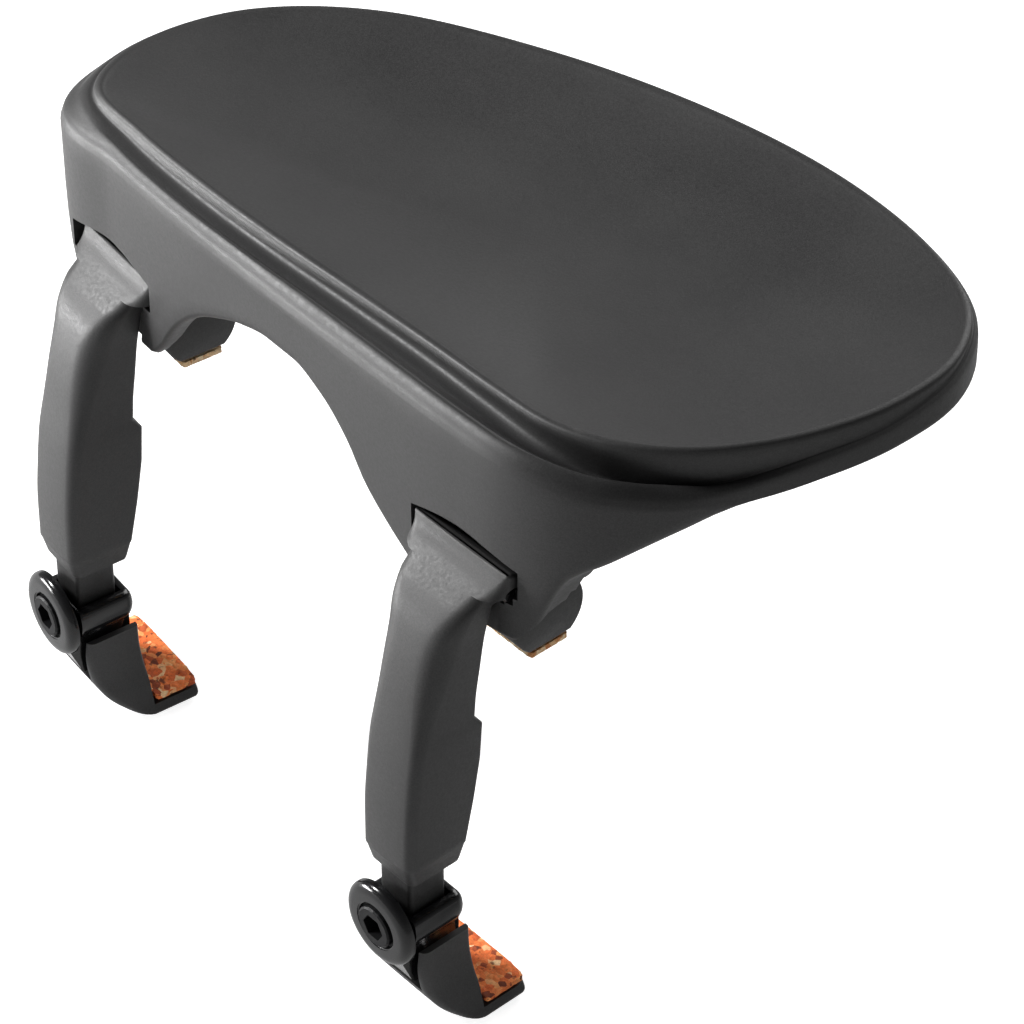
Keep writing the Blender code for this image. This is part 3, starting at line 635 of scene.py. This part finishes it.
def back_of_leg(z):
    heights, values = zip(*LEG_BACK)
    return float(np.interp(z, heights, values))


def leg_shell(side, place):
    flip = LEG_ROWS[::-1]
    half, front, radius = (monotone(flip[:, 0], flip[:, i]) for i in (1, 2, 3))
    rings = [rounded(wide, fore, aft, corner, 0.45, z, crown=LEG_CROWN)
             for z, wide, fore, corner, aft in HEAD_ROWS]
    heights = [8.5, 8.35, *np.arange(8.2, -5.8, -0.5), -6.0, -6.2, -6.5, -6.9, -7.3, -7.6, -7.75,
               *np.arange(-8.2, -21.9, -0.6), -22.0]
    for z in heights:
        bow = LEG_CROWN * (1 + min(1.0, max(0.0, (HEAD_END - z) / 6.0)))
        fore = float(front(z)) + 0.5 * (bow - LEG_CROWN)
        rings.append(rounded(float(half(z)), fore, back_of_leg(z), float(radius(z)), 0.45, z, crown=bow))
    rings += [rounded(wide, fore, aft, corner, 0.5, z, crown=0.02) for z, wide, fore, aft, corner in NECK_ROWS]
    shell = loft("leg_moulding", rings, place)
    shell.name = f"{side}_leg_moulding"
    tools = [turned("bore_tool", "Z", (0, SPINDLE_Y), [(-40, SPINDLE_HOLE), (-9.6, SPINDLE_HOLE)], 24, place),
             box("nut_pocket_tool", (-2.1, 2.1), (SPINDLE_Y - 2.0, 2.0), NUT_POCKET_Z, place),
             turned("head_hole_tool", "X", LEG_PIN, [(-9, LEG_PIN_HOLE), (9, LEG_PIN_HOLE)], 24, place)]
    recess = []
    for z in (COVER_Z[0] - GAP, -17.0, -12.0, COVER_Z[1] + GAP):
        floor = back_of_leg(z) - COVER_THICK - GAP
        recess.append([(-2.9, floor, z), (2.9, floor, z), (2.9, 4.0, z), (-2.9, 4.0, z)])
    tools.append(loft("cover_tool", recess, place))
    carve(shell, [(tool, "DIFFERENCE") for tool in tools])
    finish_piece(shell, "matte_composite", f"{side}_leg", [f"{side}_leg_shell"])


# ---------------------------------------------------------------- gear housing
def gear_housing(side, place):
    """Collar round the neck, gear box below it and the round boss of the drive gear in front."""
    low, high = COLLAR_Z
    rows = [(low - 0.6, -0.2), (low - 0.5, -0.08), (low - 0.2, 0.12), (low + 0.3, 0.36), (low + 0.9, 0.5),
            ((low + high) / 2, 0.55), (high - 0.9, 0.5), (high - 0.45, 0.40), (high - 0.18, 0.26),
            (high, 0.0)]
    collar = [rounded(3.3 + g, -9.1 - g * 0.4, -2.5 + g, 1.0, 1.0, z) for z, g in rows]
    housing = loft("housing_moulding", collar, place)
    housing.name = f"{side}_housing_moulding"
    side_view = [(-10.2, low), (-10.2, -33.2), (-9.85, -33.9), (-8.75, -36.7), (-8.35, BOX_BOTTOM),
                 (-2.6, BOX_BOTTOM), (-2.6, low)]
    block_top = BOX_BOTTOM + 0.5
    pin_block = [(-5.75, block_top), (-5.75, -40.4), (-5.3, -41.0), (-2.6, -41.0), (-2.6, block_top)]
    front, back = DRUM_Y
    boss = [(front, DRUM_R - 1.15), (front + 0.03, DRUM_R - 0.85), (front + 0.14, DRUM_R - 0.52),
            (front + 0.32, DRUM_R - 0.26), (front + 0.55, DRUM_R - 0.08), (front + 0.82, DRUM_R),
            (back, DRUM_R)]
    joined = [(extruded("box_tool", side_view, "X", (-3.3, 3.3), place), "UNION"),
              (extruded("block_tool", pin_block, "X", (-3.3, 3.3), place), "UNION"),
              (turned("boss_tool", "Y", (0, DRUM_Z), boss, 96, place), "UNION")]
    carve(housing, joined)
    hub_way = [(-12, 2.75), (-10.42, 2.72), (-10.35, 2.6), (-10.0, 2.6)]
    journal = [(BOX_BOTTOM - 1, SPINDLE_HOLE), (BOX_BOTTOM + 2, SPINDLE_HOLE)]
    cuts = [box("neck_way_tool", (-2.65, 2.65), (-8.25, -3.0), (BOX_BOTTOM + 1.0, high + 1), place),
            turned("gear_room_tool", "Y", (0, DRUM_Z), [(-10.25, 4.05), (-8.5, 4.05)], 48, place),
            turned("hub_way_tool", "Y", (0, DRUM_Z), hub_way, 48, place),
            turned("journal_tool", "Z", (0, SPINDLE_Y), journal, 24, place),
            turned("block_hole_tool", "X", CLAW_PIN, [(-5, CLAW_PIN_HOLE), (5, CLAW_PIN_HOLE)], 24, place)]
    carve(housing, [(tool, "DIFFERENCE") for tool in cuts])
    finish_piece(housing, "gloss_acetal", f"{side}_carriage", [f"{side}_gear_housing"])


# ---------------------------------------------------------------- claw
# Rows down the claw: height, half width, front, back.
CLAW_ROWS = np.array([
    (-32.9, 4.5, -8.2, -2.2), (-35.0, 4.6, -8.4, -2.2), (-38.0, 4.9, -8.0, -2.0), (-40.5, 5.5, -6.9, -1.6),
    (-43.0, 6.2, -4.7, 3.4), (TOE_Z[0] + 0.5, 6.5, -3.3, 3.5), (TOE_Z[0] + 0.12, 6.42, -2.65, 3.38),
    (TOE_Z[0], 6.2, -2.4, 3.2),
])


# Side view of the room in the claw for the housing's pin block: y and height.
PIN_ROOM = [(-6.9, -37.9), (-6.75, -39.8), (-6.05, -41.0), (-5.5, -41.5), (-5.0, -41.6), (6.0, -41.6),
            (6.0, -37.9)]


def claw(side, place):
    flip = CLAW_ROWS[::-1]
    half, front, back = (monotone(flip[:, 0], flip[:, i]) for i in (1, 2, 3))
    heights = [-32.9, *np.arange(-33.2, -43.0, -0.3), -43.0, -43.3, -43.6, -43.85, -44.1, -44.3, -44.48,
               -44.56, -44.6]
    rings = [rounded(float(half(z)), float(front(z)), float(back(z)), 0.9, 0.4, z, 6, crown=0.06)
             for z in heights]
    body = loft("claw_moulding", rings, place)
    body.name = f"{side}_claw_moulding"
    cheek_hole = [(-4.85, CLAW_PIN_HOLE), (4.85, CLAW_PIN_HOLE)]
    tools = [box("mouth_tool", (-7, 7), (-1.9, 6.0), (TOE_Z[1], -38.5), place),
             box("fork_tool", (-3.8, 3.8), (-12, 6), (-38.6, -30), place),
             extruded("room_tool", PIN_ROOM, "X", (-3.8, 3.8), place),
             turned("cheek_hole_tool", "X", CLAW_PIN, cheek_hole, 24, place)]
    carve(body, [(tool, "DIFFERENCE") for tool in tools])
    finish_piece(body, "matte_composite", f"{side}_clamp_claw", [f"{side}_claw"])


# ---------------------------------------------------------------- cork and feet
def cork_pad(name, half, fore, aft, low, top, place, seed):
    """A pressed cork pad: a fine grid, crumbly by a few hundredths of a millimetre, with rounded edges."""
    across_x, across_y, layers = 44, 18, 7
    verts, faces = [], []
    for k in range(layers + 1):
        for j in range(across_y + 1):
            for i in range(across_x + 1):
                x = -half + 2 * half * i / across_x
                y = fore + (aft - fore) * j / across_y
                verts.append((x, y, low + (top(x) - low) * k / layers))
    row, layer = across_x + 1, (across_x + 1) * (across_y + 1)
    for j in range(across_y):
        for i in range(across_x):
            a = j * row + i
            faces.append((a, a + row, a + row + 1, a + 1))
            b = a + layers * layer
            faces.append((b, b + 1, b + row + 1, b + row))
    for k in range(layers):
        for i in range(across_x):
            for a, other in ((k * layer + i, False), (k * layer + across_y * row + i, True)):
                quad = (a, a + 1, a + 1 + layer, a + layer)
                faces.append(quad[::-1] if other else quad)
        for j in range(across_y):
            for a, other in ((k * layer + j * row, True), (k * layer + j * row + across_x, False)):
                quad = (a, a + row, a + row + layer, a + layer)
                faces.append(quad[::-1] if other else quad)
    used = sorted({v for face in faces for v in face})
    order = {v: i for i, v in enumerate(used)}
    middle_y, middle_z = (fore + aft) / 2, (low + top(0)) / 2
    points = []
    for v in used:
        x, y, z = verts[v]
        ends = (abs(x) / half, abs(y - middle_y) / ((aft - fore) / 2),
                abs(z - middle_z) / ((top(0) - low) / 2))
        corner = sum(max(0.0, e - 0.9) * 10 for e in ends) - 1.0
        pull = 0.10 * max(0.0, corner)
        crumb = 0.055 * noise.noise(Vector((x * 2.6 + seed, y * 2.6, z * 2.6))) - 0.05
        inward = Vector((math.copysign(ends[0] ** 12, -x), math.copysign(ends[1] ** 12, middle_y - y),
                         math.copysign(ends[2] ** 12, middle_z - z)))
        points.append(Vector((x, y, z)) + inward * (pull - min(0.0, crumb)))
    return add_mesh(name, points, [tuple(order[v] for v in face) for face in faces], place)


def claw_cork(side, place):
    low = TOE_Z[1] + GAP
    full = monotone([0.0, 4.2, 4.4, 6.3], [1.1, 1.1, 0.9, 0.65])
    pad = cork_pad(f"{side}_claw_pad", 6.3, -1.6, 3.4, low, lambda x: low + float(full(abs(x))), place, 3.0)
    finish_piece(pad, "cork", f"{side}_clamp_claw", [f"{side}_claw_cork"], 60)


def foot_cork(side, place):
    cy = FOOT_AXIS[0] + 0.1
    pad = cork_pad(f"{side}_foot_pad", 6.3, cy - 2.4, cy + 2.4, 0.0, lambda x: FOOT_FLAT_Z - GAP, place, 9.0)
    finish_piece(pad, "cork_pale", f"{side}_foot", [f"{side}_foot_cork"], 60)


def rocker_foot(side, place):
    cy, cz = FOOT_AXIS
    cut = math.asin((cz - FOOT_FLAT_Z) / FOOT_R)
    rings = []
    for x, shrink in ((-FOOT_HALF, 0.25), (-FOOT_HALF + 0.07, 0.1), (-FOOT_HALF + 0.25, 0.0),
                      (FOOT_HALF - 0.25, 0.0), (FOOT_HALF - 0.07, 0.1), (FOOT_HALF, 0.25)):
        radius = FOOT_R - shrink
        ring = []
        for i in range(61):
            angle = -cut + (math.pi + 2 * cut) * i / 60
            z = max(cz + radius * math.sin(angle), FOOT_FLAT_Z + shrink * 0.5)
            ring.append((x, cy + radius * math.cos(angle), z))
        rings.append(ring)
    foot = loft("foot_moulding", rings, place)
    foot.name = f"{side}_foot_moulding"
    tools = [turned("head_room_tool", "Z", (0, cy), [(0.5, 2.0), (3.6, 2.0)], 32, place),
             box("shank_way_tool", (-1.3, 1.3), (cy - 1.9, cy + 1.9), (3.0, 10), place)]
    carve(foot, [(tool, "DIFFERENCE") for tool in tools])
    finish_piece(foot, "matte_composite", f"{side}_foot", [f"{side}_rocker_foot"])


# ---------------------------------------------------------------- studio
SKY = [(0.0, 0.42), (0.35, 0.23), (1.0, 0.05)]      # brightness from the horizon to overhead
SKY_STRENGTH = 0.9
# Soft lamps: name, place from the object's middle in metres, size in metres, power in watts.
LAMPS = [("key", (-0.32, -0.30, -0.06), 0.20, 5.9), ("spark", (-0.26, -0.22, 0.26), 0.08, 2.4),
         ("back", (-0.15, 0.50, 0.36), 0.35, 1.9)]
FLOOR_HALF = 3.0              # metres
FLOOR_DROP = 0.4              # millimetres below the object
LENS = 156.6                  # millimetres on a 36 mm sensor
CAMERA_AT = (273.38, -186.23, 283.53)
CAMERA_TARGET = (19.84, 13.38, 3.96)


def studio():
    scene = bpy.context.scene
    scene.view_settings.view_transform = "Standard"
    world = bpy.data.worlds.new("studio")
    scene.world = world
    world.use_nodes = True
    nodes = Nodes(world.node_tree)
    where = nodes.add("ShaderNodeTexCoord").outputs["Generated"]
    parts = nodes.add("ShaderNodeSeparateXYZ", {0: where})
    height = nodes.ramp(parts.outputs[2], SKY)
    world.node_tree.links.new(height, world.node_tree.nodes["Background"].inputs["Color"])
    world.node_tree.nodes["Background"].inputs["Strength"].default_value = SKY_STRENGTH

    low, high = cad_box
    middle = (low + high) / 2
    for name, spot, size, power in LAMPS:
        light = bpy.data.lights.new(name, "AREA")
        light.shape = "SQUARE"
        light.size = size
        light.energy = power
        lamp = bpy.data.objects.new(name, light)
        lamp.location = middle + Vector(spot)
        lamp.rotation_euler = (middle - lamp.location).to_track_quat("-Z", "Y").to_euler()
        scene.collection.objects.link(lamp)

    far = FLOOR_HALF / MM
    z = low.z / MM - FLOOR_DROP
    corners = [(-far, -far, z), (far, -far, z), (far, far, z), (-far, far, z)]
    floor = add_mesh("floor", corners, [(0, 1, 2, 3)], WORLD)
    paper, shader, nodes, where = new_material("studio_paper")
    link(nodes, nodes.ramp(nodes.noise(where, 40.0), [(0.0, 0.55), (1.0, 0.59)]), shader, "Base Color")
    shader.inputs["Roughness"].default_value = 0.9
    shader.inputs["Specular IOR Level"].default_value = 0.1
    shader.inputs["Emission Color"].default_value = (1.0, 1.0, 1.0, 1.0)
    seen = nodes.add("ShaderNodeLightPath").outputs["Is Camera Ray"]
    link(nodes, nodes.span(seen, 0.0, 1.0, 0.12, 0.85), shader, "Emission Strength")
    floor.data.materials.append(paper)

    lens = bpy.data.cameras.new("camera")
    lens.lens = LENS
    lens.sensor_width = 36.0
    lens.clip_start = 0.01
    lens.clip_end = 10.0
    camera = bpy.data.objects.new("camera", lens)
    camera.location = Vector(CAMERA_AT) * MM
    target = Vector(CAMERA_TARGET) * MM
    camera.rotation_euler = (target - camera.location).to_track_quat("-Z", "Y").to_euler()
    scene.collection.objects.link(camera)
    scene.camera = camera


# ---------------------------------------------------------------- assembly
chin_plate()
for side in SIDES:
    place = leg_frame(side)
    for piece in (leg_shell, gear_housing, claw, claw_cork, rocker_foot, foot_cork):
        piece(side, place)
# The nodes that keep their own mesh get their slot's material, and the drive gears a duller black.
slots = {part["node"]: part["material_slot"] for part in frame["record"]["subparts"]}
for node, obj in frame["nodes"].items():
    for holder in obj.material_slots:
        holder.material = MATERIALS["worn_acetal" if node.endswith("drive_gear") else slots[node]]
studio()
